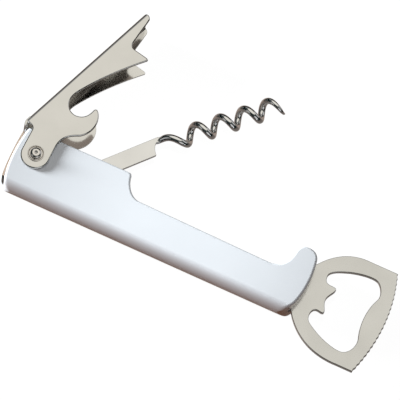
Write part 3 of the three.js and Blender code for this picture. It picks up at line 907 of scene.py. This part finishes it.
shank = rounded_slab(
    [shank_loop(), circle(*WORM_PIVOT, WORM_BORE_R)],
    -SHANK_HALF_THICK, SHANK_HALF_THICK, SHANK_ROUND,
)
piece("worm_wire", joined([shank, wire()]), worm_metal, "worm", ["worm"])

# The pieces inside the handle keep their CAD shapes.
for node in frame["nodes"].values():
    if not node.hide_render:
        node.data.materials.clear()
        node.data.materials.append(inner_metal)

# ------------------------------------------------------------------ floor, light and camera


def floor():
    """A pale floor that glows, so that it neither shades nor tints the object."""
    mesh = bpy.data.meshes.new("floor")
    reach = 30.0
    corners = [(-reach, -reach, 0), (reach, -reach, 0), (reach, reach, 0), (-reach, reach, 0)]
    mesh.from_pydata(corners, [], [(0, 1, 2, 3)])
    nodes = Nodes("pale_floor")
    nodes.set(Base_Color=(0.1, 0.1, 0.1, 1), Roughness=0.9)
    nodes.set(Emission_Color=(1, 1, 1, 1), Emission_Strength=0.97)
    mesh.materials.append(nodes.material)
    obj = bpy.data.objects.new("floor", mesh)
    bpy.context.scene.collection.objects.link(obj)
    obj.visible_diffuse = False
    obj.visible_glossy = False
    obj.visible_shadow = False


DARK, LIGHT = (0, 0, 0), (1, 1, 1)
DAYLIGHT = (0.91, 0.955, 1.0)
BLACK_WALL, GREY_WALL = (0.006, 0.012, 0.012), (0.04, 0.05, 0.05)
OVERHEAD = (-0.04, 0.3, 0.95)  # where flat front faces look, seen in the photograph's view

# Soft boxes that only reflections show, mostly for views from the sides. Each has a direction,
# the place where it begins (1 is its middle, and 0 is straight behind), and a brightness.
SOFTBOXES = (
    ((0.62, -0.62, 0.30), 0.950, 0.68),
    ((0.67, 0.67, 0.28), 0.950, 0.60),
    ((-0.60, -0.665, 0.44), 0.972, 0.55),
    ((-0.66, 0.62, 0.42), 0.978, 0.36),
)


def shaded(tree, axis, *stops):
    """A colour that changes with direction, from straight against an axis to straight along it."""
    place = tree.nodes.new("ShaderNodeTexCoord")
    along = tree.nodes.new("ShaderNodeVectorMath")
    along.operation = "DOT_PRODUCT"
    along.inputs[1].default_value = Vector(axis).normalized()
    height = tree.nodes.new("ShaderNodeMapRange")
    height.inputs["From Min"].default_value = -1
    ramp = tree.nodes.new("ShaderNodeValToRGB")
    set_stops(ramp.color_ramp, stops)
    tree.links.new(place.outputs["Generated"], along.inputs[0])
    tree.links.new(along.outputs["Value"], height.inputs["Value"])
    tree.links.new(height.outputs["Result"], ramp.inputs["Fac"])
    return ramp.outputs["Color"]


def plain(tree, colour):
    """One colour in every direction."""
    output = tree.nodes.new("ShaderNodeRGB").outputs["Color"]
    output.default_value = (*colour, 1)
    return output


def mixed(tree, share, first, second):
    """The first where the share is dark, and the second where it is light."""
    mix = tree.nodes.new("ShaderNodeMix")
    mix.data_type = "RGBA"
    tree.links.new(share, mix.inputs["Factor"])
    tree.links.new(first, mix.inputs["A"])
    tree.links.new(second, mix.inputs["B"])
    return mix.outputs["Result"]


def world():
    """Soft light from above with brown below it; a studio for reflections; a white backdrop."""
    made = bpy.data.worlds.new("studio")
    made.use_nodes = True
    made.cycles.sampling_method = "NONE"
    tree = made.node_tree
    background = tree.nodes["Background"]
    light = shaded(
        tree, (0.0, 0.6, 0.8),
        (0.0, (0.16, 0.040, 0.004)), (0.42, (0.10, 0.028, 0.006)), (0.56, (0.05, 0.033, 0.025)),
        (0.76, (0.105, 0.105, 0.107)), (1.0, (0.155, 0.155, 0.157)),
    )
    wall = (0.64, BLACK_WALL), (0.76, GREY_WALL), (1.0, GREY_WALL)
    near = shaded(
        tree, (0, 0, 1),
        (0.0, (0.24, 0.21, 0.19)), (0.34, (0.15, 0.13, 0.12)), (0.41, BLACK_WALL), *wall,
    )
    beyond = shaded(
        tree, (0, 0, 1),
        (0.0, (0.42, 0.36, 0.32)), (0.30, (0.36, 0.29, 0.25)), (0.40, BLACK_WALL), *wall,
    )
    ceiling = shaded(tree, OVERHEAD, (0.0, (0.93, 0.89, 0.80)), (1.0, (0.94, 0.91, 0.83)))
    far_side = shaded(tree, (-0.7, 0.7, 0), (0.45, DARK), (0.6, LIGHT))
    overhead = shaded(tree, OVERHEAD, (0.87, DARK), (0.915, LIGHT))
    mirrored = mixed(tree, far_side, near, beyond)
    for axis, edge, tone in SOFTBOXES:
        at_softbox = shaded(tree, axis, (edge, DARK), (edge + 0.02, LIGHT))
        mirrored = mixed(tree, at_softbox, mirrored, plain(tree, (tone, tone, tone)))
    mirrored = mixed(tree, overhead, mirrored, ceiling)
    path = tree.nodes.new("ShaderNodeLightPath")
    colour = mixed(tree, path.outputs["Is Glossy Ray"], light, mirrored)
    colour = mixed(tree, path.outputs["Is Camera Ray"], colour, plain(tree, LIGHT))
    tree.links.new(colour, background.inputs["Color"])
    bpy.context.scene.world = made


def lamp(kind, name, azimuth, elevation, distance, aim, watts, radius):
    """A lamp at a distance, in metres, from what it lights. It doesn't show in reflections."""
    a, e = math.radians(azimuth), math.radians(elevation)
    way = Vector((math.cos(a) * math.cos(e), math.sin(a) * math.cos(e), math.sin(e)))
    data = bpy.data.lights.new(name, kind)
    data.energy = watts
    data.color = DAYLIGHT
    if kind == "AREA":
        data.shape = "DISK"
        data.size = 2 * radius
    else:
        data.shadow_soft_size = radius
    obj = bpy.data.objects.new(name, data)
    obj.location = TO_ROW @ Vector(aim) + way * distance
    obj.rotation_euler = way.to_track_quat("Z", "Y").to_euler()
    obj.visible_glossy = False
    bpy.context.scene.collection.objects.link(obj)
    return data


def camera():
    """A long lens. The view leans over the handle's spine, and the handle falls to the right."""
    roll = VIEW_ROLL.normalized()
    across = Vector((math.cos(VIEW_SWING), math.sin(VIEW_SWING), 0))
    down = Vector((math.sin(VIEW_SWING), -math.cos(VIEW_SWING), 0)) * math.cos(VIEW_LEAN)
    down -= Vector((0, 0, 1)) * math.sin(VIEW_LEAN)
    right = roll.x * across + roll.y * down
    up = -(roll.x * down - roll.y * across)
    back = right.cross(up)
    aim = TO_ROW @ (right * AIM.x + up * AIM.y)
    data = bpy.data.cameras.new("camera")
    data.lens = LENS
    distance = VIEW_WIDTH * 0.001 * data.lens / data.sensor_width
    data.clip_start, data.clip_end = 0.05, 100
    obj = bpy.data.objects.new("camera", data)
    turn = Matrix((right, up, back)).transposed().to_4x4()
    obj.matrix_world = Matrix.Translation(aim + back * distance) @ turn
    bpy.context.scene.collection.objects.link(obj)
    bpy.context.scene.camera = obj


floor()
world()
lamp("AREA", "low_left", 182.7, 13.5, 2.0, (50, 0, 0), watts=108, radius=0.3)
pool = lamp("SPOT", "overhead", -90, 88, 1.0, (59, -3, 6), watts=18.5, radius=0.03)
pool.spot_size = 2 * math.atan(0.078)  # a radius of 78 mm at its distance of 1 m
pool.spot_blend = 1.0
camera()
bpy.context.scene.view_settings.view_transform = "Standard"
